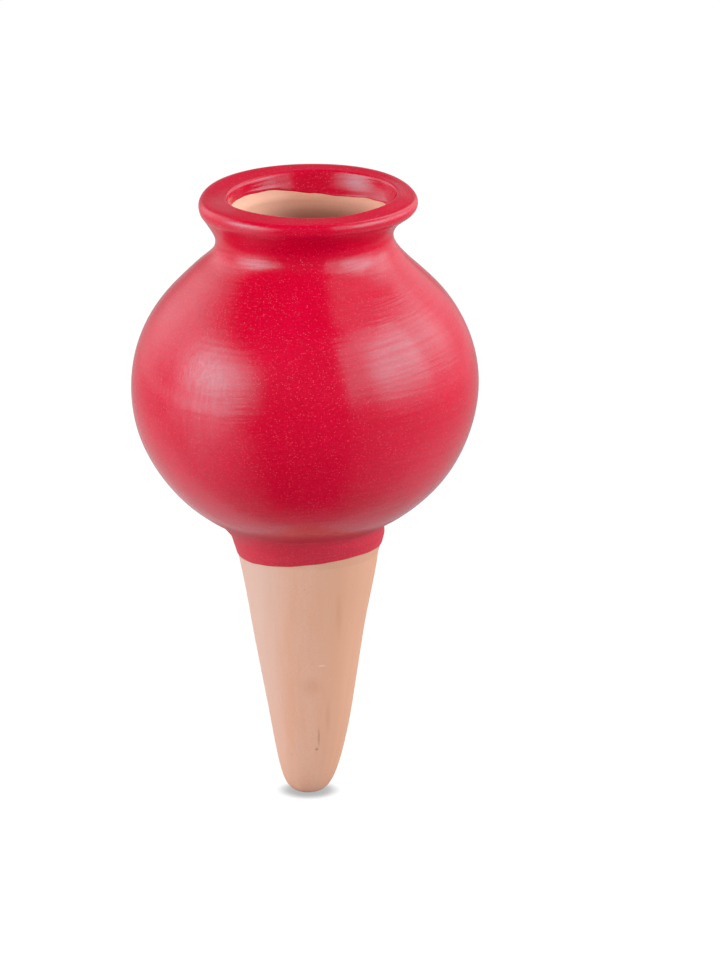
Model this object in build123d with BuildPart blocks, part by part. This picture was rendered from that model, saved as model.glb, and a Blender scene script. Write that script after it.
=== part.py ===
from build123d import *

import os
from math import acos, atan, cos, degrees, radians, sin, sqrt, tan

# Self-watering spike of fired clay. A thrown bulb holds the water, a hollow porous cone lets it seep
# into the soil, a ring of slip joins the two, and a coat of paint closes the pores above the soil.
# Millimetres, +Z up, origin on the axis at the soil line, where the paint ends.

# Spike: the cone that stands in the soil, and its plain collar above the soil line
spike_diameter = 40.0  # at the soil line
spike_depth = 72.4  # soil line to tip
spike_wall = 4.5
collar_height = 7.9  # soil line to the top of the spike
nose_diameter = 25.8  # where the straight taper ends
nose_depth = 30.0  # from there to the tip
flank_pull = 0.95  # how far the taper carries on into the nose, as a share of its depth
tip_pull = 0.52  # how blunt the tip is, as a share of the nose's radius

# Slip: the clay paste between bulb and spike, keyed into scored rings and smoothed outside
slip_thickness = 0.8
slip_setback = 0.6  # from the water passage
bead_foot = 0.5  # lower edge of the smoothed bead, above the soil line
bead_flare = 18.0  # degrees from upright at that edge
bead_reach = 3.8  # how far the bead runs out under the bulb
flare_pull = 0.42  # how far the flare carries on into the bead, as a share of the bead's span
underside_pull = 0.3  # how far the bulb's underside does
score_depth = 0.35
score_count = 2

# Bulb: the reservoir with its shoulder, neck and rolled rim
bulb_diameter = 99.5
bulb_wall = 4.65
belly_depth = 45.9  # half height of the ellipse below the widest part
shoulder_rise = 44.0  # half height of the ellipse above it
shoulder_turn = 40.0  # degrees of that ellipse before it runs into the neck
neck_rise = 15.2  # end of the shoulder to the narrowest part of the neck
shoulder_pull = 0.56  # how far the shoulder carries on towards the neck, as a share of that rise
neck_pull = 0.3  # how far the narrowest part does, back towards the shoulder
neck_diameter = 50.7
neck_wall = 3.4  # thinned where the neck was drawn in and its throat opened
lip_rise = 11.2  # narrowest part of the neck to the widest part of the lip
lip_diameter = 62.4
lip_round = 3.1  # radius of the lip below its widest part
lip_undercut = 45.0  # degrees of that rounding, down to where it runs into the neck
ridge_round = 1.6  # radius of the lip's upper edge
rim_width = 4.8  # top of the rim, between its two rounded edges
rim_slope = 12.0  # degrees by which the top falls outwards
crest_round = 0.6  # radius of the inner edge
mouth_flare = 45.0  # degrees from upright just inside the crest
funnel_pull = 0.5  # how far the upright wall carries on above the paint's edge, as a share of its height
crest_pull = 0.35  # how far the flare does, down from the crest
throat_length = 6.0  # straight bore inside the neck
throat_flare = 3.8  # height of the bare flare above that bore
throat_step = 0.25  # how much the flare opens
paint_flare = 4.0  # degrees from upright at the top of that flare, where the paint ends

# Coat: the paint film over bulb, rim, mouth and collar
coat_thickness = 0.25

# Heights and radii that follow from the sizes above
spike_radius = spike_diameter / 2
nose_radius = nose_diameter / 2
taper = (spike_radius - nose_radius) / (spike_depth - nose_depth)
taper_cosine = cos(atan(taper))
seat_radius = spike_radius + taper * collar_height
passage_radius = seat_radius - spike_wall / taper_cosine
slip_inner_radius = passage_radius + slip_setback
joint_radius = seat_radius + bead_reach
foot_height = collar_height + slip_thickness
bulb_radius = bulb_diameter / 2
equator_height = foot_height + belly_depth * sqrt(1 - (seat_radius / bulb_radius) ** 2)
neck_radius = neck_diameter / 2
neck_height = equator_height + shoulder_rise * sin(radians(shoulder_turn)) + neck_rise
throat_radius = neck_radius - neck_wall
throat_bottom = neck_height - throat_length / 2
throat_top = neck_height + throat_length / 2
lip_height = neck_height + lip_rise
ridge_centre = Vector(lip_diameter / 2 - ridge_round, lip_height)
rim_normal = Vector(sin(radians(rim_slope)), cos(radians(rim_slope)))
rim_inward = Vector(-rim_normal.Y, rim_normal.X)
crest_centre = ridge_centre + rim_normal * (ridge_round - crest_round) + rim_inward * rim_width
mouth_line = Vector(throat_radius + throat_step, throat_top + throat_flare)
paint_slope = tan(radians(paint_flare))
paint_normal = Vector(-cos(radians(paint_flare)), sin(radians(paint_flare)))


def blend(start, start_slope, end, end_slope, start_pull=1 / 3, end_pull=1 / 3):
    """Smooth curve between two points of the section, each slope in radius per height."""
    height = end.Y - start.Y
    after_start = start + Vector(start_slope, 1) * height * start_pull
    before_end = end - Vector(end_slope, 1) * height * end_pull
    return Bezier(start, after_start, before_end, end)


def cone_point(height, skin):
    """Point on the spike's straight taper, or on a skin over it."""
    return Vector(spike_radius + taper * height + skin / taper_cosine, height)


def nose_line(skin):
    """Rounded nose of the spike, from the tip up to the straight taper."""
    flank = cone_point(nose_depth - spike_depth, skin)
    tip = Vector(0, -spike_depth - skin)
    along_flank = Vector(taper, 1) * (flank.Y - tip.Y) * flank_pull
    return Bezier(tip, tip + Vector(flank.X * tip_pull, 0), flank - along_flank, flank)


def ellipse_line(half_width, half_height, start, end):
    """Part of an upright ellipse about the middle of the bulb, between two angles in degrees."""
    if half_width >= half_height:
        middle = (0, equator_height)
        return EllipticalCenterArc(middle, half_width, half_height, start, arc_size=end - start)
    # A bulb taller than wide: the same curve by weights, as its arc is read back broken from a file
    weight = cos(radians(end - start) / 2)
    points = []
    for angle, reach in ((start, 1), ((start + end) / 2, 1 / weight), (end, 1)):
        radius = half_width * reach * cos(radians(angle))
        height = half_height * reach * sin(radians(angle))
        points.append(Vector(radius, equator_height + height))
    return Bezier(*points, weights=[1, weight, 1])


def belly_line(from_radius, to_radius, skin):
    """Underside of the bulb between two radii, or of a skin over it."""
    half_width = bulb_radius + skin
    start = -degrees(acos(from_radius / half_width))
    end = -degrees(acos(to_radius / half_width))
    return ellipse_line(half_width, belly_depth + skin, start, end)


def shoulder_line(skin):
    """Upper half of the bulb up to where the neck begins, or of a skin over it."""
    return ellipse_line(bulb_radius + skin, shoulder_rise + skin, 0, shoulder_turn)


def shoulder_slope(skin):
    """Radius per height at the end of the shoulder."""
    return -tan(radians(shoulder_turn)) * (bulb_radius + skin) / (shoulder_rise + skin)


def bead_line(foot, end, end_way):
    """Hollow of the smoothed bead, from its foot on the spike to where it ends under the bulb."""
    foot_way = Vector(sin(radians(bead_flare)), cos(radians(bead_flare)))
    span = (end - foot).length
    return Bezier(foot, foot + foot_way * span * flare_pull, end - end_way * span * underside_pull, end)


def rim_line(skin):
    """Bulb from its widest part over the shoulder, neck and rim to the paint's edge in the mouth."""
    shoulder = shoulder_line(skin)
    neck = Vector(neck_radius + skin, neck_height)
    lip_centre = Vector(lip_diameter / 2 - lip_round, lip_height)
    lip = CenterArc(lip_centre, lip_round + skin, -lip_undercut, lip_undercut)
    ridge = CenterArc(ridge_centre, ridge_round + skin, 0, 90 - rim_slope)
    crest = CenterArc(crest_centre, crest_round + skin, 90 - rim_slope, 90 + rim_slope - mouth_flare)
    blend(shoulder @ 1, shoulder_slope(skin), neck, 0, shoulder_pull, neck_pull)
    blend(neck, 0, lip @ 0, tan(radians(lip_undercut)))
    Line(ridge @ 1, crest @ 0)
    paint_end = mouth_line + paint_normal * skin
    blend(paint_end, paint_slope, crest @ 1, tan(radians(mouth_flare)), funnel_pull, crest_pull)


def painted_line(skin):
    """Whole painted outside, from the soil line up to the paint's edge in the mouth."""
    collar = Line(cone_point(0, skin), cone_point(bead_foot, skin))
    belly = belly_line(joint_radius + skin, bulb_radius + skin, skin)
    bead_line(collar @ 1, belly @ 0, belly % 0)
    rim_line(skin)


def scored_face(height, depth):
    """Joint face under or over the slip, with scored rings of the given depth, up or down."""
    pitch = (seat_radius - slip_inner_radius) / (score_count + 1)
    points = [Vector(slip_inner_radius, height)]
    for ring in range(score_count):
        middle = slip_inner_radius + pitch * (ring + 1)
        points.append(Vector(middle - score_depth, height))
        points.append(Vector(middle, height + depth))
        points.append(Vector(middle + score_depth, height))
    points.append(Vector(seat_radius, height))
    return Polyline(*points)


# Spike: coiled or thrown cone, scraped outside, with a scored top face
with BuildPart() as spike:
    with BuildSketch(Plane.XZ):
        with BuildLine():
            nose = nose_line(0)
            bore_nose = nose_line(-spike_wall)
            Line(nose @ 1, cone_point(collar_height, 0))
            scored_face(collar_height, -score_depth)
            Line((slip_inner_radius, collar_height), (passage_radius, collar_height))
            Line((passage_radius, collar_height), bore_nose @ 1)
            Line(bore_nose @ 0, nose @ 0)
        make_face()
    revolve(axis=Axis.Z)
spike.part.label = "spike"

# Slip ring: keyed between the two scored faces, with the smoothed bead outside
with BuildPart() as luting_slip:
    with BuildSketch(Plane.XZ):
        with BuildLine():
            scored_face(collar_height, -score_depth)
            collar = Line(cone_point(bead_foot, 0), cone_point(collar_height, 0))
            underside = belly_line(seat_radius, joint_radius, 0)
            bead_line(collar @ 0, underside @ 1, underside % 1)
            scored_face(foot_height, score_depth)
            Line((slip_inner_radius, collar_height), (slip_inner_radius, foot_height))
        make_face()
    revolve(axis=Axis.Z)
luting_slip.part.label = "luting_slip"

# Bulb: one thrown wall, from the scored foot round the belly, over the rim and back down inside
with BuildPart() as bulb:
    with BuildSketch(Plane.XZ):
        with BuildLine():
            belly_line(seat_radius, bulb_radius, 0)
            rim_line(0)
            throat = Line((throat_radius, throat_bottom), (throat_radius, throat_top))
            blend(throat @ 1, 0, mouth_line, paint_slope)
            inner_shoulder = shoulder_line(-bulb_wall)
            blend(inner_shoulder @ 1, shoulder_slope(-bulb_wall), throat @ 0, 0)
            inner_belly = belly_line(passage_radius, bulb_radius - bulb_wall, -bulb_wall)
            Line(inner_belly @ 0, (passage_radius, foot_height))
            Line((passage_radius, foot_height), (slip_inner_radius, foot_height))
            scored_face(foot_height, score_depth)
        make_face()
    revolve(axis=Axis.Z)
bulb.part.label = "bulb"

# Coat: brushed and dipped paint film, from the soil line into the mouth
with BuildPart() as colour_coat:
    with BuildSketch(Plane.XZ):
        with BuildLine():
            painted_line(0)
            painted_line(coat_thickness)
            Line(cone_point(0, 0), cone_point(0, coat_thickness))
            Line(mouth_line, mouth_line + paint_normal * coat_thickness)
        make_face()
    revolve(axis=Axis.Z)
colour_coat.part.label = "colour_coat"

os.makedirs("parts", exist_ok=True)
for piece in (spike, luting_slip, bulb, colour_coat):
    export_step(piece.part, f"parts/{piece.part.label}.step")
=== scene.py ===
from math import acos, atan2, cos, degrees, hypot, pi, radians, sin, sqrt, tan

import bmesh
import bpy
import numpy as np
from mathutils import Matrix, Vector


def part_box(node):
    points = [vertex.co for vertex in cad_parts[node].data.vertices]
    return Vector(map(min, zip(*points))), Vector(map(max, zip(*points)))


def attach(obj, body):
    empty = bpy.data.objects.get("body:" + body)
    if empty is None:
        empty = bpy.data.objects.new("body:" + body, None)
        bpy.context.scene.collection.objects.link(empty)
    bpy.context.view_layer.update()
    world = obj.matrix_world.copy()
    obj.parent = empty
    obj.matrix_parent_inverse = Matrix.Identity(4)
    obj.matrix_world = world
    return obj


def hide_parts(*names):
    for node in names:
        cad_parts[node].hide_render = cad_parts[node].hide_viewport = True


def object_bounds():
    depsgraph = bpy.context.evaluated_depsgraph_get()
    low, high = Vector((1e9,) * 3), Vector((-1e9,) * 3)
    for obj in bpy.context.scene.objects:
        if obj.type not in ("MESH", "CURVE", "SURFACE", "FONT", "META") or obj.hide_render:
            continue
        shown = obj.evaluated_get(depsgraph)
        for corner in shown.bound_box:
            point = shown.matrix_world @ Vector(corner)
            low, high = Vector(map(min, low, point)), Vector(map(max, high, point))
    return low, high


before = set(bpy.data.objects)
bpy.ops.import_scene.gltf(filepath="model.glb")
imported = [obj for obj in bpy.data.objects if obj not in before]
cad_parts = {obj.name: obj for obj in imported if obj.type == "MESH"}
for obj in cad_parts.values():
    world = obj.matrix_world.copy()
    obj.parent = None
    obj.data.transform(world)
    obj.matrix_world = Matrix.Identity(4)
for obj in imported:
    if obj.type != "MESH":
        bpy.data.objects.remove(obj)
cad_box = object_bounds()
scene = bpy.context.scene
scene.view_settings.view_transform = "Standard"

# Camera: a long lens three metres away and a little above the mouth, so that the open rim shows as a
# narrow ellipse. The aim point stands the piece left of the picture's middle.
picture_height = 960  # pixels
pixels_per_metre = 3479.4  # at the piece
camera_distance = 3.0
camera_elevation = radians(16.5)
camera_aim = Vector((0.01578, 0, 0.02128))

camera_lens = bpy.data.cameras.new("camera")
camera_lens.lens = camera_lens.sensor_width * camera_distance * pixels_per_metre / picture_height
camera = bpy.data.objects.new("camera", camera_lens)
camera.location = camera_aim + camera_distance * Vector((0, -cos(camera_elevation), sin(camera_elevation)))
camera.rotation_euler = (pi / 2 - camera_elevation, 0, 0)
scene.collection.objects.link(camera)
scene.camera = camera


# Spike: the hollow cone that stands in the soil, of fine terracotta fired at low heat so that water
# seeps through it. It was thrown, then scraped upright with a rib while it was leather-hard.
mm = 0.001  # the sizes of the pieces are in millimetres
spike_low, spike_high = (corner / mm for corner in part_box("spike"))
spike_depth = -spike_low.z
collar_height = spike_high.z
seat_radius = spike_high.x
spike_radius = 20.0  # at the soil line
spike_wall = 4.5
nose_depth = 30.0  # straight taper's end to the tip
flank_pull = 0.95  # how far the taper carries on into the nose
tip_pull = 0.52  # how blunt the tip is
score_depth = 0.35
score_count = 2
slip_setback = 0.6  # from the water passage
taper = (seat_radius - spike_radius) / collar_height
taper_cosine = cos(atan2(taper, 1))
passage_radius = seat_radius - spike_wall / taper_cosine
slip_inner_radius = passage_radius + slip_setback
row_gap = 0.45  # between the rings of a mesh
turn_steps = 240
curve_points = 200
sharp_edge = radians(50)
angle = np.linspace(-pi, pi, turn_steps, endpoint=False)  # from the front towards +X

# How far the real axis wanders from the true one at each height, towards +X
axis_wander = [
    (-72.4, 0.7), (-68, 0.9), (-60, 1.15), (-50, 1.3), (-39, 1.15), (-24, 0.9), (-3, 0.95), (3, 0.75),
    (6, 0.6), (9, -0.75), (14, -0.7), (22, -0.35), (37, -0.25), (51, 0.05), (69, 0.2), (80, 0.35),
    (84, 0.25), (89, -0.05), (93.6, -0.15), (98, 0.1), (103.6, 0.95), (109, 0.95),
]
out_of_round = 0.05
collar_swell = 0.33  # the spike's top is a little wider than its taper
swell_begins = (-20, -1)  # heights between which it sets in
swell_ends = (9.5, 6.5)  # and between which it goes back
neck_tilt = radians(2.3)
tilt_begins = (84, 93)  # heights between which it sets in
mouth_shift = 1.0  # towards +X
# How far the rim's outer edge and its crest are lifted, by degrees from the front towards +X
rim_begins = (96.5, 103.5)  # heights between which these set in
lip_lift = [
    (-225, 1.8), (-180, 1.9), (-135, 1.3), (-113, 0.7), (-90, -0.28), (-45, -0.3), (0, -0.2), (45, 0.0),
    (90, 0.23), (135, 1.8), (180, 1.9), (225, 1.3),
]
crest_lift = [
    (-225, 0.45), (-180, 0.5), (-135, -0.5), (-90, -1.17), (-45, -0.65), (-20, -0.6), (0, -0.65),
    (20, -0.5), (45, 0.0), (90, 0.31), (135, 0.45), (180, 0.5), (225, -0.5),
]


def smooth_step(low, high, value):
    """From 0 at one value to 1 at another, without a corner."""
    share = np.clip((value - low) / (high - low), 0, 1)
    return share * share * (3 - 2 * share)


def flow(points, at):
    """Smooth curve through a few listed points, read at the given places."""
    place, value = np.array(points, float).T
    slope = np.gradient(value, place)
    left = np.clip(np.searchsorted(place, at) - 1, 0, len(place) - 2)
    gap = place[left + 1] - place[left]
    share = np.clip((at - place[left]) / gap, 0, 1)
    rest = 1 - share
    ends = rest**2 * (1 + 2 * share) * value[left] + share**2 * (1 + 2 * rest) * value[left + 1]
    return ends + share * rest * gap * (rest * slope[left] - share * slope[left + 1])


def by_hand(radius, height, mouth):
    """Where the points of the true shape lie on the hand-made one. Mouth is 1 inside the rim's crest."""
    swell = np.sin(2 * angle + 0.7 + height / 41) + 0.7 * np.sin(3 * angle - 1.1 + height / 23)
    swell = swell + 0.5 * np.sin(5 * angle + 2.0 - height / 13) - 2.2
    radius = radius + out_of_round * swell * np.minimum(1, radius / spike_radius)
    radius = radius + collar_swell * smooth_step(*swell_begins, height) * smooth_step(*swell_ends, height)
    x = radius * np.sin(angle) + flow(axis_wander, height) + mouth_shift * mouth
    y = -radius * np.cos(angle)
    neck = np.tan(neck_tilt) * x * smooth_step(*tilt_begins, height)
    rim = flow(lip_lift, np.degrees(angle)) * (1 - mouth) + flow(crest_lift, np.degrees(angle)) * mouth
    on_rim = smooth_step(*rim_begins, height)
    return x, y, height + neck * (1 - on_rim) + rim * on_rim


def turn(name, radius, height, mouth, closed):
    """Mesh of a section spun round the axis. A section that isn't closed ends on the axis at both ends."""
    rows = len(radius)
    x, y, z = np.broadcast_arrays(*by_hand(radius, height, mouth))
    points = np.stack([x, y, z], axis=-1)
    middle = points.mean(axis=1)
    mean_line = np.stack([radius.mean(axis=1), height.mean(axis=1)], axis=-1)
    steps = np.hypot(*np.diff(mean_line, axis=0, append=mean_line[:1]).T)
    along = np.concatenate([[0], np.cumsum(steps)])
    along = along / along[-1]
    points = points.reshape(-1, 3).tolist()
    faces = []
    places = []
    for row in range(rows if closed else rows - 1):
        lower = row * turn_steps
        upper = (row + 1) % rows * turn_steps
        for step in range(turn_steps):
            after = (step + 1) % turn_steps
            faces.append((lower + step, lower + after, upper + after, upper + step))
            left, right = step / turn_steps, (step + 1) / turn_steps
            places += [(left, along[row]), (right, along[row])]
            places += [(right, along[row + 1]), (left, along[row + 1])]
    if not closed:
        for row, tip_height in ((0, height[0, 0]), (rows - 1, height[-1, 0])):
            pole = len(points)
            points.append([middle[row][0], middle[row][1], tip_height])
            for step in range(turn_steps):
                after = (step + 1) % turn_steps
                faces.append((pole, row * turn_steps + after, row * turn_steps + step))
                left, right = step / turn_steps, (step + 1) / turn_steps
                places += [((left + right) / 2, along[row]), (right, along[row]), (left, along[row])]
    mesh = bpy.data.meshes.new(name)
    mesh.from_pydata((np.array(points) * mm).tolist(), [], faces)
    layer = mesh.uv_layers.new(name="OFBake")
    layer.uv.foreach_set("vector", np.array(places, np.float32).ravel())
    shell = bmesh.new()
    shell.from_mesh(mesh)
    bmesh.ops.recalc_face_normals(shell, faces=shell.faces)
    shell.to_mesh(mesh)
    shell.free()
    mesh.shade_smooth()
    mesh.set_sharp_from_angle(angle=sharp_edge)
    piece = bpy.data.objects.new(name, mesh)
    scene.collection.objects.link(piece)
    return piece


def bezier(start, start_pull, end_pull, end):
    share = np.linspace(0, 1, curve_points)[:, None]
    rest = 1 - share
    curve = rest**3 * np.array(start) + 3 * rest**2 * share * np.array(start_pull)
    return curve + 3 * rest * share**2 * np.array(end_pull) + share**3 * np.array(end)


def line(*corners):
    """Straight runs between corners, with points close enough for a mesh."""
    runs = [np.array(corners[:1], float)]
    for start, end in zip(corners, corners[1:]):
        count = max(2, int(hypot(end[0] - start[0], end[1] - start[1]) / row_gap) + 1)
        runs.append(np.linspace(start, end, count)[1:])
    return np.vstack(runs)


def evenly(curve, gap=row_gap):
    """The same curve with points an even distance apart."""
    along = np.concatenate([[0], np.cumsum(np.hypot(*np.diff(curve, axis=0).T))])
    at = np.linspace(0, along[-1], max(3, int(along[-1] / gap) + 1))
    return np.stack([np.interp(at, along, curve[:, 0]), np.interp(at, along, curve[:, 1])], axis=-1)


def cone_point(height, skin):
    """Point on the spike's straight taper, or at the bore for a skin below zero."""
    return np.array([spike_radius + taper * height + skin / taper_cosine, height])


def nose_line(skin):
    """Rounded nose from the tip up to the straight taper, for the outside or the bore."""
    flank = cone_point(nose_depth - spike_depth, skin)
    tip = np.array([0, -spike_depth - skin])
    along_flank = np.array([taper, 1]) * (flank[1] - tip[1]) * flank_pull
    return evenly(bezier(tip, tip + [flank[0] * tip_pull, 0], flank - along_flank, flank))


def scored_face(height, depth):
    """Joint face with its scored rings, from the passage outwards."""
    pitch = (seat_radius - slip_inner_radius) / (score_count + 1)
    corners = [(slip_inner_radius, height)]
    for ring in range(score_count):
        middle = slip_inner_radius + pitch * (ring + 1)
        corners += [(middle - score_depth, height), (middle, height + depth)]
        corners.append((middle + score_depth, height))
    return line(*corners, (seat_radius, height))


nose = nose_line(0)
bore_nose = nose_line(-spike_wall)
spike_outside = np.vstack([nose[1:-1], line(nose[-1], cone_point(collar_height, 0))])
spike_bore = np.vstack([line((passage_radius, collar_height), bore_nose[-1]), bore_nose[-2:0:-1]])
spike_section = np.vstack([spike_outside, scored_face(collar_height, -score_depth)[-2::-1], spike_bore])
spike_height = spike_section[:, 1:]
# Upright flats of the rib outside and finger ridges in the bore, both fading out towards the axis
flat_depth = 0.055
ridge_gap = 0.55
ridge_height = 0.02
fade = (1, 9)  # radii between which they set in
is_scraped = np.arange(len(spike_section)) < len(spike_outside)
flats = np.abs(np.sin(6.5 * angle + 0.6 + 0.4 * np.sin(spike_height / 19)))
flats = flats + 0.6 * np.abs(np.sin(10.5 * angle + 1.9 - spike_height / 60)) - 1.6
ridges = np.sin(spike_height / ridge_gap + angle) * ridge_height
tool_marks = np.where(is_scraped[:, None], flat_depth * flats, ridges)
tool_marks = tool_marks * smooth_step(*fade, spike_section[:, :1])
spike = turn("spike_body", spike_section[:, :1] + tool_marks, spike_height + 0 * angle, 0, False)


def add_node(tree, kind, inputs=None, **settings):
    """A shader node with its settings. Its inputs are values, or outputs of other nodes to link from."""
    node = tree.nodes.new(kind)
    for name, value in settings.items():
        setattr(node, name, value)
    for name, value in (inputs or {}).items():
        if isinstance(value, bpy.types.NodeSocket):
            tree.links.new(value, node.inputs[name])
        else:
            node.inputs[name].default_value = value
    return node


def calc(tree, operation, *values):
    node = add_node(tree, "ShaderNodeMath", dict(enumerate(values)), operation=operation)
    return node.outputs[0]


def spread(tree, value, low, high, to_low=0.0, to_high=1.0):
    """A value's range stretched to another, without a corner at its ends."""
    inputs = {"Value": value, "From Min": low, "From Max": high, "To Min": to_low, "To Max": to_high}
    return add_node(tree, "ShaderNodeMapRange", inputs, interpolation_type="SMOOTHSTEP").outputs[0]


def mix(tree, share, first, second, blend="MIX"):
    inputs = {0: share, 6: first, 7: second}
    return add_node(tree, "ShaderNodeMix", inputs, data_type="RGBA", blend_type=blend).outputs[2]


def noise(tree, place, scale, detail=2.0, roughness=0.5):
    inputs = {"Vector": place, "Scale": scale, "Detail": detail, "Roughness": roughness}
    return add_node(tree, "ShaderNodeTexNoise", inputs).outputs["Fac"]


def stretched(tree, place, scale):
    inputs = {0: place, 1: scale}
    return add_node(tree, "ShaderNodeVectorMath", inputs, operation="MULTIPLY").outputs[0]


def object_place(tree):
    return add_node(tree, "ShaderNodeTexCoord").outputs["Object"]


def split(tree, vector):
    """The X, Y and Z of a vector."""
    return add_node(tree, "ShaderNodeSeparateXYZ", {0: vector}).outputs


def terracotta_group():
    """Fired clay: warm and pale clouds drawn out along the tool's way, fine grain and a few open pores."""
    cloud_scale = 38.0  # per metre, as the next two
    grain_scale = 2600.0
    pore_scale = 520.0
    pore_colour = (0.3, 0.12, 0.07, 1)
    pore_strength = 0.22
    tree = bpy.data.node_groups.new("terracotta_body", "ShaderNodeTree")
    for name in ("Clay", "Warm", "Pale"):
        tree.interface.new_socket(name, in_out="INPUT", socket_type="NodeSocketColor")
    tree.interface.new_socket("Stretch", in_out="INPUT", socket_type="NodeSocketVector")
    tree.interface.new_socket("Colour", in_out="OUTPUT", socket_type="NodeSocketColor")
    tree.interface.new_socket("Height", in_out="OUTPUT", socket_type="NodeSocketFloat")
    given = tree.nodes.new("NodeGroupInput").outputs
    place = object_place(tree)
    drawn = noise(tree, stretched(tree, place, given["Stretch"]), 1.0, 4.0, 0.6)
    clouds = noise(tree, place, cloud_scale, 3.0)
    grain = noise(tree, place, grain_scale, 2.0)
    cells = add_node(tree, "ShaderNodeTexVoronoi", {"Vector": place, "Scale": pore_scale}).outputs
    chosen = add_node(tree, "ShaderNodeSeparateColor", {0: cells["Color"]}).outputs[0]
    pore = spread(tree, cells["Distance"], 0.2, 0.08)
    pore = calc(tree, "MULTIPLY", pore, spread(tree, chosen, 0.8, 0.95))
    colour = mix(tree, spread(tree, drawn, 0.42, 0.66), given["Clay"], given["Warm"])
    colour = mix(tree, spread(tree, clouds, 0.5, 0.72), colour, given["Pale"])
    dust = mix(tree, spread(tree, grain, 0.3, 0.7), (0.965, 0.96, 0.955, 1), (1.03, 1.03, 1.035, 1))
    colour = mix(tree, 1.0, colour, dust, "MULTIPLY")
    colour = mix(tree, calc(tree, "MULTIPLY", pore, pore_strength), colour, pore_colour)
    height = calc(tree, "ADD", calc(tree, "MULTIPLY", grain, 0.25), calc(tree, "MULTIPLY", drawn, 0.8))
    height = calc(tree, "SUBTRACT", height, pore)
    out = tree.nodes.new("NodeGroupOutput").inputs
    tree.links.new(colour, out["Colour"])
    tree.links.new(height, out["Height"])
    return tree


def side_light_group():
    """Painted light on the clay: paler on the side of -X, and painted shade, darker and warmer, on the
    other.
    """
    tree = bpy.data.node_groups.new("painted_side_light", "ShaderNodeTree")
    for name in ("Clay", "Lit Side", "Shaded Side"):
        tree.interface.new_socket(name, in_out="INPUT", socket_type="NodeSocketColor")
    tree.interface.new_socket("Colour", in_out="OUTPUT", socket_type="NodeSocketColor")
    given = tree.nodes.new("NodeGroupInput").outputs
    away = split(tree, object_place(tree))["X"]
    colour = mix(tree, spread(tree, away, -0.003, -0.014, 0.0, 0.85), given["Clay"], given["Lit Side"])
    colour = mix(tree, spread(tree, away, 0.001, 0.009, 0.0, 0.8), colour, given["Shaded Side"])
    tree.links.new(colour, tree.nodes.new("NodeGroupOutput").inputs["Colour"])
    return tree


terracotta_body = terracotta_group()
# Painted light and painted shade on the clay's two sides
painted_side_light = side_light_group()


def new_material(name):
    material = bpy.data.materials.new(name)
    material.use_nodes = True
    tree = material.node_tree
    tree.nodes.clear()
    shader = tree.nodes.new("ShaderNodeBsdfPrincipled")
    output = tree.nodes.new("ShaderNodeOutputMaterial")
    tree.links.new(shader.outputs[0], output.inputs["Surface"])
    return material, tree, shader


def place_group(tree, group, values):
    """A shared effect in a material, with that material's own values."""
    return add_node(tree, "ShaderNodeGroup", values, node_tree=group).outputs


def bump(tree, height, depth, strength):
    inputs = {"Height": height, "Distance": depth, "Strength": strength}
    return add_node(tree, "ShaderNodeBump", inputs).outputs["Normal"]


def fired_clay(tree):
    """Colour and surface height of the spike's and slip's clay, with painted light at -X and painted shade
    at +X.
    """
    tones = {"Clay": (0.76, 0.435, 0.315, 1), "Warm": (0.75, 0.405, 0.275, 1)}
    pale = (0.77, 0.465, 0.36, 1)
    body = place_group(tree, terracotta_body, {**tones, "Pale": pale, "Stretch": (230, 230, 14)})
    # Painted light on the side of -X and painted shade on the other
    sides = {"Lit Side": (0.7, 0.475, 0.4, 1), "Shaded Side": (0.7, 0.375, 0.245, 1)}
    side_lit_clay = place_group(tree, painted_side_light, {"Clay": body["Colour"], **sides})
    return side_lit_clay["Colour"], body["Height"]


# Marks on the spike's front: place and half size across and upright, how strong, and its colour
spike_marks = [
    ((9.8, -16), (1.1, 9), 0.35, (0.62, 0.28, 0.17, 1)),
    ((4.8, -30.2), (1.3, 0.35), 0.5, (0.85, 0.68, 0.58, 1)),
    ((1.9, -36.8), (3.4, 3.2), 0.3, (0.62, 0.26, 0.15, 1)),
    ((3.9, -53), (0.35, 3.4), 0.5, (0.45, 0.2, 0.12, 1)),
    ((3.3, -56.8), (0.5, 0.5), 0.7, (0.4, 0.15, 0.09, 1)),
    ((6.5, -47), (0.8, 6), 0.3, (0.62, 0.29, 0.18, 1)),
]
mark_reach = 0.15  # per millimetre in depth, so that the far side has none
scraped_clay, tree, shader = new_material("scraped_terracotta")
place = object_place(tree)
colour, grain_height = fired_clay(tree)
for (across, upright), (half_width, half_height), strength, tone in spike_marks:
    depth = -cone_point(upright, 0)[0]
    offset = {0: place, 1: (across * mm, depth * mm, upright * mm)}
    offset = add_node(tree, "ShaderNodeVectorMath", offset, operation="SUBTRACT").outputs[0]
    share = stretched(tree, offset, (1 / half_width / mm, mark_reach / mm, 1 / half_height / mm))
    share = add_node(tree, "ShaderNodeVectorMath", {0: share}, operation="LENGTH").outputs["Value"]
    colour = mix(tree, spread(tree, share, 1.3, 0.2, 0.0, strength), colour, tone)
tree.links.new(colour, shader.inputs["Base Color"])
tree.links.new(bump(tree, grain_height, 0.00012, 0.6), shader.inputs["Normal"])
shader.inputs["Roughness"].default_value = 0.82
spike.data.materials.append(scraped_clay)
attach(spike, "root")
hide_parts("spike")


# Slip ring: wet clay paste that joins bulb and spike. It is pressed into the rings scored in both faces
# and its squeezed-out bead is smoothed with a finger into the flared collar.
slip_low, slip_high = (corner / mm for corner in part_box("luting_slip"))
bulb_low, bulb_high = (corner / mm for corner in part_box("bulb"))
bead_foot = slip_low.z
joint_radius = slip_high.x
foot_height = bulb_low.z
bulb_radius = bulb_high.x
bead_flare = radians(18)  # from upright at the bead's foot
flare_pull = 0.42  # how far the flare carries on into the bead
underside_pull = 0.3  # how far the bulb's underside does
belly_depth = 45.9  # half height of the bulb's lower ellipse
equator_height = foot_height + belly_depth * sqrt(1 - (seat_radius / bulb_radius) ** 2)


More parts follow.
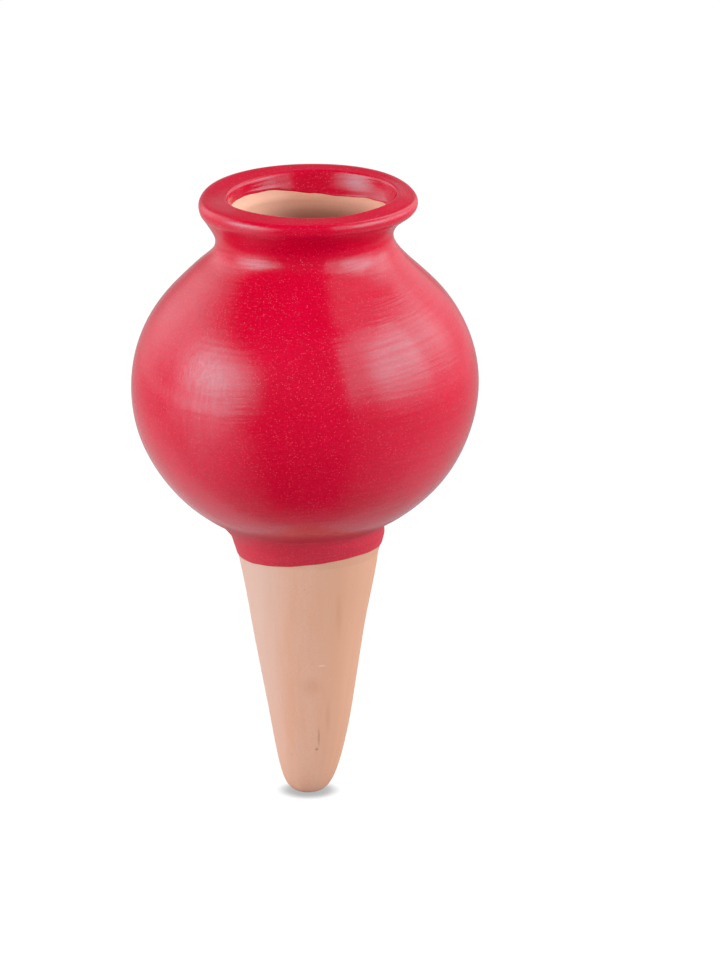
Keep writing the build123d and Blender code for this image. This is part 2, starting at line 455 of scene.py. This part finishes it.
def arc(middle, half_width, half_height, start, end):
    """Part of an ellipse between two angles in degrees."""
    turns = np.radians(np.linspace(start, end, curve_points))
    radius = middle[0] + half_width * np.cos(turns)
    height = middle[1] + half_height * np.sin(turns)
    return np.stack([radius, height], axis=-1)


def belly_line(from_radius, to_radius, skin):
    """Underside of the bulb between two radii, outside or inside."""
    width = bulb_radius + skin
    start = -degrees(acos(from_radius / width))
    end = -degrees(acos(to_radius / width))
    return arc((0, equator_height), width, belly_depth + skin, start, end)


def bead_line():
    """Hollow curve of the smoothed bead, from its foot on the spike to where it ends under the bulb."""
    start = cone_point(bead_foot, 0)
    underside = belly_line(joint_radius, bulb_radius, 0)
    end = underside[0]
    end_way = (underside[1] - end) / hypot(*(underside[1] - end))
    foot_way = np.array([sin(bead_flare), cos(bead_flare)])
    span = hypot(*(end - start))
    return bezier(start, start + foot_way * span * flare_pull, end - end_way * span * underside_pull, end)


slip_section = np.vstack([
    scored_face(collar_height, -score_depth)[:-1],
    line(cone_point(collar_height, 0), cone_point(bead_foot, 0))[:-1],
    evenly(bead_line())[:-1],
    evenly(belly_line(seat_radius, joint_radius, 0))[:0:-1],
    scored_face(foot_height, score_depth)[:0:-1],
    line((slip_inner_radius, foot_height), (slip_inner_radius, collar_height))[:-1],
])
slip = turn("slip_ring", slip_section[:, :1] + 0 * angle, slip_section[:, 1:] + 0 * angle, 0, True)
slip_clay, tree, shader = new_material("slip_terracotta")
colour, grain_height = fired_clay(tree)
tree.links.new(colour, shader.inputs["Base Color"])
tree.links.new(bump(tree, grain_height, 0.0002, 0.7), shader.inputs["Normal"])
shader.inputs["Roughness"].default_value = 0.88
slip.data.materials.append(slip_clay)
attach(slip, "root")
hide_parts("luting_slip")


# Bulb: the water reservoir, thrown on the wheel in one wall with a rolled rim. Its inside keeps the
# rings of the thrower's fingers, and the throat below the painted mouth is left bare.
bulb_wall = 4.65
shoulder_rise = 44.0  # half height of the bulb's upper ellipse
shoulder_turn = 40.0  # degrees of it before the neck
neck_rise = 15.2  # end of the shoulder to the narrowest part
shoulder_pull = 0.56  # how far the shoulder carries on towards the neck
neck_pull = 0.3  # how far the narrowest part does, back towards the shoulder
neck_radius = 25.35
neck_wall = 3.4  # thinned where the neck was drawn in and its throat opened
lip_radius = 31.2
lip_round = 3.1  # below the lip's widest part
lip_undercut = 45.0  # degrees of that rounding
ridge_round = 1.6  # upper edge of the lip
rim_width = 4.8
rim_slope = radians(12)  # the rim's top falls outwards
crest_round = 0.6  # inner edge of the rim
mouth_flare = radians(10)  # from upright just inside the crest
cup_flare = radians(40)  # from upright just above the throat
funnel_pull = 0.27  # how far the wider flare carries on upwards
crest_pull = 0.38  # how far the steeper one does, down from the crest
rim_sag = 1.2  # the uneven rim's mean below its highest side
throat_length = 6.0
throat_flare = 3.1
throat_step = 0.25
paint_slope = tan(radians(4))  # at the top of the bare throat
neck_height = equator_height + shoulder_rise * sin(radians(shoulder_turn)) + neck_rise
throat_radius = neck_radius - neck_wall
throat_bottom = neck_height - throat_length / 2
throat_top = neck_height + throat_length / 2
mouth_line = np.array([throat_radius + throat_step, throat_top + throat_flare])
rim_normal = np.array([sin(rim_slope), cos(rim_slope)])
to_crest = rim_normal * (ridge_round - crest_round) + rim_width * np.array([-rim_normal[1], rim_normal[0]])
lip_height = bulb_high.z - crest_round - to_crest[1] - rim_sag
ridge_centre = np.array([lip_radius - ridge_round, lip_height])
crest_centre = ridge_centre + to_crest


def blend(start, start_slope, end, end_slope, start_pull=1 / 3, end_pull=1 / 3):
    """Smooth curve between two points of the section, each slope in radius per height."""
    start, end = np.array(start), np.array(end)
    height = end[1] - start[1]
    after_start = start + np.array([start_slope, 1]) * height * start_pull
    before_end = end - np.array([end_slope, 1]) * height * end_pull
    return bezier(start, after_start, before_end, end)


def shoulder(skin):
    """Upper half of the bulb and the slope where the neck begins, outside or inside."""
    width, rise = bulb_radius + skin, shoulder_rise + skin
    slope = -tan(radians(shoulder_turn)) * width / rise
    return arc((0, equator_height), width, rise, 0, shoulder_turn), slope


def rim_line():
    """Shoulder, neck and lip, over the sloping top of the rim to its crest."""
    body, slope = shoulder(0)
    neck = (neck_radius, neck_height)
    top = 90 - degrees(rim_slope)
    lip = arc((lip_radius - lip_round, lip_height), lip_round, lip_round, -lip_undercut, 0)
    ridge = arc(ridge_centre, ridge_round, ridge_round, 0, top)
    crest = arc(crest_centre, crest_round, crest_round, top, 180 - degrees(mouth_flare))
    to_neck = blend(body[-1], slope, neck, 0, shoulder_pull, neck_pull)
    to_lip = blend(neck, 0, lip[0], tan(radians(lip_undercut)))
    return np.vstack([body, to_neck, to_lip, lip, ridge, crest])


bulb_gap = 0.7  # between the rings of the bulb's mesh
rim = rim_line()
inner_shoulder, inner_slope = shoulder(-bulb_wall)
throat_wall = np.vstack([
    blend(mouth_line, tan(cup_flare), rim[-1], tan(mouth_flare), funnel_pull, crest_pull)[::-1],
    blend((throat_radius, throat_top), 0, mouth_line, paint_slope)[::-1],
    line((throat_radius, throat_top), (throat_radius, throat_bottom)),
])
bulb_outside = evenly(np.vstack([belly_line(seat_radius, bulb_radius, 0), rim]), bulb_gap)
bulb_inside = evenly(np.vstack([
    throat_wall,
    blend((throat_radius, throat_bottom), 0, inner_shoulder[-1], inner_slope),
    inner_shoulder[::-1],
    belly_line(passage_radius, bulb_radius - bulb_wall, -bulb_wall)[::-1],
]), bulb_gap)
bulb_foot = np.vstack([
    line((passage_radius, foot_height), (slip_inner_radius, foot_height))[:-1],
    scored_face(foot_height, score_depth)[:-1],
])
bulb_section = np.vstack([bulb_outside, bulb_inside[1:], bulb_foot])
bulb_height = bulb_section[:, 1:]
row = np.arange(len(bulb_section))[:, None]
is_inside = (row >= len(bulb_outside)) & (row < len(bulb_outside) + len(bulb_inside) - 1)
on_top = (row < len(bulb_outside)) & (bulb_height > lip_height)
shift_begins = (78, 92)  # heights inside the neck over which it follows the mouth
mouth = np.where(on_top, smooth_step(ridge_centre[0], crest_centre[0], bulb_section[:, :1]), 0)
mouth = np.where(is_inside, smooth_step(*shift_begins, bulb_height), mouth)
# Finger rings, wiped smooth in the throat
finger_gap = 3.4
fine_gap = 1.3
wiped_depth = 0.03
left_depth = 0.17  # more than that, where the fingers weren't wiped away
wiped_above = (96, 84)  # heights
fingers = np.sin(bulb_height * 2 * pi / finger_gap - angle)
fingers = fingers + 0.4 * np.sin(bulb_height * 2 * pi / fine_gap - angle)
finger_depth = np.where(is_inside, wiped_depth + left_depth * smooth_step(*wiped_above, bulb_height), 0)
bulb = turn("bulb_wall", bulb_section[:, :1] + finger_depth * fingers, bulb_height + 0 * angle, mouth, True)

thrown_clay, tree, shader = new_material("thrown_terracotta")
tones = {"Clay": (0.84, 0.46, 0.33, 1), "Warm": (0.8, 0.41, 0.27, 1), "Pale": (0.86, 0.5, 0.39, 1)}
body = place_group(tree, terracotta_body, {**tones, "Stretch": (16, 16, 420)})
# Painted light on the clay at -X, and painted shade deeper in the throat on the other side
painted_light_clay = (0.98, 0.585, 0.43, 1)
painted_shade_clay = (0.3, 0.1, 0.055, 1)
throat_shade_strength = 0.85
place = split(tree, object_place(tree))
# Painted shade, deep in the throat on the side of +X
throat_shade = calc(tree, "MULTIPLY", spread(tree, place["Z"], 0.1, 0.092), spread(tree, place["X"], -0.016, 0.0))
colour = mix(tree, spread(tree, place["X"], -0.002, -0.016), body["Colour"], painted_light_clay)
colour = mix(tree, calc(tree, "MULTIPLY", throat_shade, throat_shade_strength), colour, painted_shade_clay)
tree.links.new(colour, shader.inputs["Base Color"])
tree.links.new(bump(tree, body["Height"], 0.00012, 0.6), shader.inputs["Normal"])
shader.inputs["Roughness"].default_value = 0.85
bulb.data.materials.append(thrown_clay)
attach(bulb, "root")
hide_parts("bulb")


# Colour coat: satin red acrylic paint over bulb, rim and collar, brushed on while the piece turned.
# It ends in uneven edges on the spike, at and just above the soil line, and inside the mouth.
coat_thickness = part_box("colour_coat")[1].x / mm - bulb_radius
edge_round = 0.4  # how far in from its edge the film is at full thickness
edge_bead = 0.06  # paint gathered along the edge
bead_place = 0.6  # its middle, in from the edge
bead_width = 0.4
lower_reach = 8.0  # how far up the collar the mesh follows the uneven edge
mouth_reach = 7.5  # and how far out of the mouth
# Height of the paint's edge in the mouth, from the back round by -X to the back again, in degrees
mouth_edge = [
    (-180, 100.25), (-166, 101.1), (-156, 101.75), (-147, 102.2), (-132, 102.5), (-111, 102.6),
    (-96, 102.5), (-60, 102.1), (-25, 101.7), (15, 101.5), (55, 101.1), (90, 100.7), (117, 100.65),
    (133, 100.3), (148, 99.9), (168, 99.9), (180, 100.3),
]
# Height of its edge on the spike, by the same degrees
soil_edge = [
    (-180, 0.3), (-130, -0.1), (-87, 0.04), (-64, 0.1), (-44, 0.3), (-19, 1.15), (-7, 1.65), (6, 2.15),
    (26, 2.95), (46, 3.25), (87, 2.95), (130, 1.6), (180, 0.3),
]
line_start = -3  # height below the lowest paint at which the painted line starts
line_gap = 0.02  # between its points
collar_points = 2000  # the first of these, in which its lower edge is looked for
painted = evenly(np.vstack([
    line(cone_point(line_start, 0), cone_point(bead_foot, 0))[:-1],
    bead_line()[:-1],
    belly_line(joint_radius, bulb_radius, 0)[:-1],
    rim[:-1],
    throat_wall,
]), line_gap)
painted_along = np.concatenate([[0], np.cumsum(np.hypot(*np.diff(painted, axis=0).T))])
painted_way = np.gradient(painted, painted_along, axis=0)
painted_way /= np.hypot(*painted_way.T)[:, None]
crest_at = painted_along[np.argmin(np.hypot(*(painted - rim[-1]).T))]
ridge_at = painted_along[np.argmin(np.hypot(*(painted - ridge_centre - ridge_round * rim_normal).T))]
below_crest = painted_along > crest_at
edge_angle = np.degrees(angle)
lower_edge = flow(soil_edge, edge_angle) + 0.05 * np.sin(9 * angle + 1) + 0.04 * np.sin(17 * angle + 2)
mouth_edge_height = flow(mouth_edge, edge_angle) + 0.07 * np.sin(11 * angle) + 0.05 * np.sin(19 * angle + 1)
first_at = np.interp(lower_edge, painted[:collar_points, 1], painted_along[:collar_points])
last_at = np.interp(-mouth_edge_height, -painted[below_crest, 1], painted_along[below_crest])


def painted_rows(gap, finer):
    """Places along the painted line for each ring of the film, drawn to both uneven edges."""
    bend = np.hypot(*np.gradient(painted_way, painted_along, axis=0).T)
    weight = np.cumsum(1 + finer * np.minimum(bend, 1.0))
    low, high = first_at.mean(), last_at.mean()
    count = int((high - low) / gap)
    inside = (painted_along > low) & (painted_along < high)
    share = np.linspace(0, 1, count)
    weight = weight[inside]
    at = np.interp(share, (weight - weight[0]) / (weight[-1] - weight[0]), painted_along[inside])[:, None]
    at = at + (first_at - low) * np.clip(1 - (at - low) / lower_reach, 0, 1)
    return at + (last_at - high) * np.clip(1 - (high - at) / mouth_reach, 0, 1)


def film_point(at, thickness):
    """Radius and height of points that lie a thickness above the painted line."""
    radius = np.interp(at, painted_along, painted[:, 0])
    height = np.interp(at, painted_along, painted[:, 1])
    across = np.interp(at, painted_along, painted_way[:, 1])
    upward = -np.interp(at, painted_along, painted_way[:, 0])
    return radius + thickness * across, height + thickness * upward


film_gap = 0.42  # between the rings of its outer side, closer where the line bends
film_finer = 1.5
back_gap = 2.0  # between those of the side on the clay
outer_at = painted_rows(film_gap, film_finer)
edge_steps = edge_round * np.array([0.0, 0.05, 0.18, 0.4, 0.7])[:, None]
outer_at = np.vstack([outer_at[0] + edge_steps, outer_at[2:-2], outer_at[-1] - edge_steps[::-1]])
from_edge = np.minimum(outer_at - outer_at[0], outer_at[-1] - outer_at)
film = coat_thickness * np.sqrt(1 - np.clip(1 - from_edge / edge_round, 0, 1) ** 2)
film = film + edge_bead * np.exp(-(((from_edge - bead_place) / bead_width) ** 2))
inner_at = painted_rows(back_gap, 0)[-2:0:-1]
outer_radius, outer_height = film_point(outer_at, film)
brush_depth = 0.012
brushing = np.sin(outer_at / 0.31 + 3 * np.sin(angle + outer_at / 17)) * np.sin(outer_at / 2.3 + 2 * angle)
outer_radius = outer_radius + brush_depth * (brushing - 1) * (from_edge > 2)
inner_radius, inner_height = film_point(inner_at, 0)
coat_radius = np.vstack([outer_radius, inner_radius])
coat_height = np.vstack([outer_height, inner_height])
mouth = smooth_step(ridge_at, crest_at, np.vstack([outer_at, inner_at]))
coat = turn("colour_film", coat_radius, coat_height, mouth, True)


def mix_value(tree, share, first, second):
    return add_node(tree, "ShaderNodeMix", {0: share, 2: first, 3: second}, data_type="FLOAT").outputs[0]


deep_red = (0.65, 0.0, 0.029, 1)
bright_red = (0.69, 0.0, 0.034, 1)
dark_grain = (0.91, 0.91, 0.91, 1)
light_grain = (1.08, 1.08, 1.08, 1)
speck_and_glint_red = (1.0, 0.09, 0.17, 1)
speck_strength = 0.5
speck_scale = 2200.0  # per metre
cloud_scale = 55.0
grain_scale = 1500.0
patch_scale = 90.0
brush_rise = 0.13  # how much the level brush lines climb towards +X
red_paint, tree, shader = new_material("red_paint")
place = object_place(tree)
cells = add_node(tree, "ShaderNodeTexVoronoi", {"Vector": place, "Scale": speck_scale}).outputs
chosen = add_node(tree, "ShaderNodeSeparateColor", {0: cells["Color"]}).outputs
speck_size = spread(tree, chosen[1], 0.0, 1.0, 0.17, 0.34)
speck = calc(tree, "LESS_THAN", cells["Distance"], speck_size)
speck = calc(tree, "MULTIPLY", speck, spread(tree, chosen[0], 0.35, 0.85))
clouds = noise(tree, place, cloud_scale, 4.0)
grain = noise(tree, place, grain_scale, 3.0, 0.6)
colour = mix(tree, spread(tree, clouds, 0.35, 0.7), deep_red, bright_red)
shade = mix(tree, spread(tree, grain, 0.32, 0.68), dark_grain, light_grain)
colour = mix(tree, 1.0, colour, shade, "MULTIPLY")
# Lighter specks: grit in the paint, and partly a painted glint where the grit catches light
colour = mix(tree, calc(tree, "MULTIPLY", speck, speck_strength), colour, speck_and_glint_red)
tree.links.new(colour, shader.inputs["Base Color"])
# The sheen on the deep red is bluish
shader.inputs["Specular Tint"].default_value = (0.05, 0.95, 1, 1)

# Brush lines: level ones, which climb a little, and upright ones on the side of -X
part = split(tree, place)
risen = calc(tree, "SUBTRACT", part["Z"], calc(tree, "MULTIPLY", part["X"], brush_rise))
brushed = add_node(tree, "ShaderNodeCombineXYZ", {"X": part["X"], "Y": part["Y"], "Z": risen}).outputs[0]
level_lines = noise(tree, stretched(tree, brushed, (22, 22, 1300)), 1.0, 3.0, 0.6)
upright_lines = noise(tree, stretched(tree, place, (1100, 1100, 30)), 1.0, 2.0, 0.6)
left_side = spread(tree, part["X"], -0.016, -0.03)
lines = mix_value(tree, left_side, level_lines, upright_lines)
patches = spread(tree, noise(tree, place, patch_scale, 1.0), 0.42, 0.62)

# Duller paint on the collar, where the brush didn't reach well, and weaker reflections in the hollow under
# the lip, a painted shade
dry = spread(tree, part["Z"], 0.0165, 0.0105, 0.0, 0.35)
rough = calc(tree, "ADD", spread(tree, clouds, 0.3, 0.7, 0.14, 0.16), dry)
tree.links.new(rough, shader.inputs["Roughness"])
above_neck = spread(tree, part["Z"], 0.0925, 0.0955)
below_lip = spread(tree, part["Z"], 0.1015, 0.0995)
# Painted shade: the paint reflects less between the neck and the lip
hollow_shade = calc(tree, "MULTIPLY", above_neck, below_lip)
gloss = spread(tree, lines, 0.3, 0.7, 0.66, 0.94)
gloss = calc(tree, "MULTIPLY", gloss, spread(tree, hollow_shade, 0.0, 1.0, 1.0, 0.2))
tree.links.new(gloss, shader.inputs["Specular IOR Level"])
height = calc(tree, "MULTIPLY", lines, calc(tree, "ADD", 0.8, calc(tree, "MULTIPLY", patches, 2.4)))
height = calc(tree, "ADD", height, calc(tree, "MULTIPLY", grain, 0.45))
height = calc(tree, "ADD", height, calc(tree, "MULTIPLY", speck, 0.5))
tree.links.new(bump(tree, height, 0.00004, 0.7), shader.inputs["Normal"])
coat.data.materials.append(red_paint)
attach(coat, "root")
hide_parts("colour_coat")


# Studio: a white floor under the tip, a white room behind, and white panels left and right that leave
# the camera's side dark, so that the paint's deep red shows between two broad reflections.
floor_half = 4.0
floor_mesh = bpy.data.meshes.new("floor")
corners = [(x * floor_half, y * floor_half, cad_box[0].z) for x, y in ((-1, -1), (1, -1), (1, 1), (-1, 1))]
floor_mesh.from_pydata(corners, [], [(0, 1, 2, 3)])
floor = bpy.data.objects.new("floor", floor_mesh)
scene.collection.objects.link(floor)
floor_white, tree, shader = new_material("floor_white")
shader.inputs["Base Color"].default_value = (0.5, 0.5, 0.5, 1)
shader.inputs["Roughness"].default_value = 1.0
shader.inputs["Specular IOR Level"].default_value = 0.0
ray = add_node(tree, "ShaderNodeLightPath").outputs
place = split(tree, object_place(tree))
aside = calc(tree, "MAXIMUM", calc(tree, "ABSOLUTE", place["X"]), 0.03)
ahead = calc(tree, "DIVIDE", place["Y"], aside)
across = calc(tree, "MULTIPLY", place["X"], place["X"])
along = calc(tree, "MULTIPLY", place["Y"], place["Y"])
distance = calc(tree, "POWER", calc(tree, "ADD", across, along), 0.5)

# The floor as the paint mirrors it: bright at the left, dim behind and dark towards the camera
front = spread(tree, place["X"], -0.33, -0.05, 1.4, 0.4)
back = spread(tree, distance, 0.12, 0.4, 0.52, 0.41)
table = mix_value(tree, spread(tree, ahead, -0.5, 0.1), front, back)
table = calc(tree, "MULTIPLY", table, spread(tree, ahead, -2.4, 0.3))

# Light at the foot of the left panel, and a little beside the piece
foot_light = spread(tree, ahead, -1.15, -0.6, -0.3, 0.42)
foot_light = calc(tree, "MULTIPLY", foot_light, spread(tree, distance, 0.27, 0.53))
foot_light = calc(tree, "MULTIPLY", foot_light, spread(tree, ahead, 0.3, -0.05))
near_light = spread(tree, distance, 0.5, 0.3, 0.03, 0.12)
near_light = calc(tree, "MULTIPLY", spread(tree, ahead, -0.1, 0.2), near_light)
on_left = spread(tree, place["X"], 0.05, -0.05)
left_light = calc(tree, "MULTIPLY", calc(tree, "ADD", foot_light, near_light), on_left)
table = calc(tree, "MAXIMUM", calc(tree, "ADD", table, left_light), 0.0)

# The camera sees it white, with a small shadow where the tip stands
shadow_reach = 0.0045  # metres
white_share = 0.88
touch = add_node(tree, "ShaderNodeAmbientOcclusion", {"Distance": shadow_reach}, samples=8).outputs["AO"]
glow = calc(tree, "MULTIPLY", ray["Is Glossy Ray"], table)
seen = calc(tree, "MAXIMUM", ray["Is Camera Ray"], ray["Is Transmission Ray"])
glow = calc(tree, "MAXIMUM", glow, calc(tree, "MULTIPLY", seen, spread(tree, touch, 0.35, 1.0, 0.5, 1.1)))
glow = add_node(tree, "ShaderNodeEmission", {"Color": (1, 1, 1, 1), "Strength": glow}).outputs[0]
share = calc(tree, "MAXIMUM", calc(tree, "MULTIPLY", seen, white_share), ray["Is Glossy Ray"])
both = add_node(tree, "ShaderNodeMixShader", {0: share, 1: shader.outputs[0], 2: glow}).outputs[0]
tree.links.new(both, tree.nodes["Material Output"].inputs["Surface"])
floor_mesh.materials.append(floor_white)

# The room: white to the camera, faint behind the piece to the paint, and soft light to the clay
room = bpy.data.worlds.new("room")
room.use_nodes = True
scene.world = room
tree = room.node_tree
tree.nodes.clear()
ray = add_node(tree, "ShaderNodeLightPath").outputs
toward = split(tree, add_node(tree, "ShaderNodeTexCoord").outputs["Generated"])
behind = spread(tree, toward["Y"], 0.2, 0.7)
behind = calc(tree, "MULTIPLY", behind, spread(tree, toward["Z"], 0.22, 0.42, 0.3, 0.13))
mirrored = calc(tree, "MULTIPLY", ray["Is Glossy Ray"], behind)
tent = calc(tree, "MULTIPLY", ray["Is Diffuse Ray"], spread(tree, toward["Z"], 0.65, 0.9, 0.65, 0.2))
seen = calc(tree, "MAXIMUM", ray["Is Camera Ray"], ray["Is Transmission Ray"])
level = calc(tree, "MAXIMUM", calc(tree, "MAXIMUM", mirrored, tent), seen)
sky = add_node(tree, "ShaderNodeBackground", {"Color": (1, 1, 1, 1), "Strength": level}).outputs[0]
output = tree.nodes.new("ShaderNodeOutputWorld")
tree.links.new(sky, output.inputs["Surface"])

panel_distance = 0.8  # metres from the axis


def softbox(name, azimuth, elevation, half_width, half_height, level, soft):
    """Upright white panel, dimmer towards its edges, by the angles it takes up seen from the bulb.

    Azimuth is from the camera's side towards +X. Soft is the share of its half width and height
    that fades.
    """
    lamp = bpy.data.lights.new(name, "AREA")
    lamp.shape = "RECTANGLE"
    lamp.size = 2 * panel_distance * tan(radians(half_width))
    lamp.size_y = 2 * panel_distance * tan(radians(half_height))
    lamp.energy = pi * level * lamp.size * lamp.size_y
    lamp.use_nodes = True
    tree = lamp.node_tree
    offset = {0: add_node(tree, "ShaderNodeNewGeometry").outputs["Parametric"], 1: (0.5, 0.5, 0)}
    offset = add_node(tree, "ShaderNodeVectorMath", offset, operation="SUBTRACT").outputs[0]
    away = split(tree, offset)
    shares = []
    for side, blur in zip("XY", soft):
        shares.append(spread(tree, calc(tree, "ABSOLUTE", away[side]), 0.5, 0.5 - blur / 2))
    tree.links.new(calc(tree, "MULTIPLY", *shares), tree.nodes["Emission"].inputs["Strength"])
    panel = bpy.data.objects.new(name, lamp)
    toward = Vector((sin(radians(azimuth)), -cos(radians(azimuth)), 0))
    panel.location = panel_distance * (toward + Vector((0, 0, tan(radians(elevation)))))
    panel.location.z += equator_height * mm
    panel.rotation_euler = toward.to_track_quat("Z", "Y").to_euler()
    panel.visible_camera = False
    scene.collection.objects.link(panel)


softbox("left_box", -63.2, 17, 40.2, 34, 3.5, (1, 1))
softbox("rear_left_panel", -102, 28.5, 57, 42, 1.3, (0.75, 1))
softbox("right_box", 87, 30.5, 45, 40, 2.4, (0.5, 1))
softbox("right_panel", 60.5, 36, 33.5, 42, 1.15, (0.12, 0.6))
softbox("right_top_panel", 80, 66, 42, 58, 0.52, (0.5, 0.6))
softbox("rear_right_panel", 142, 50, 20, 58, 1.4, (0.25, 1))
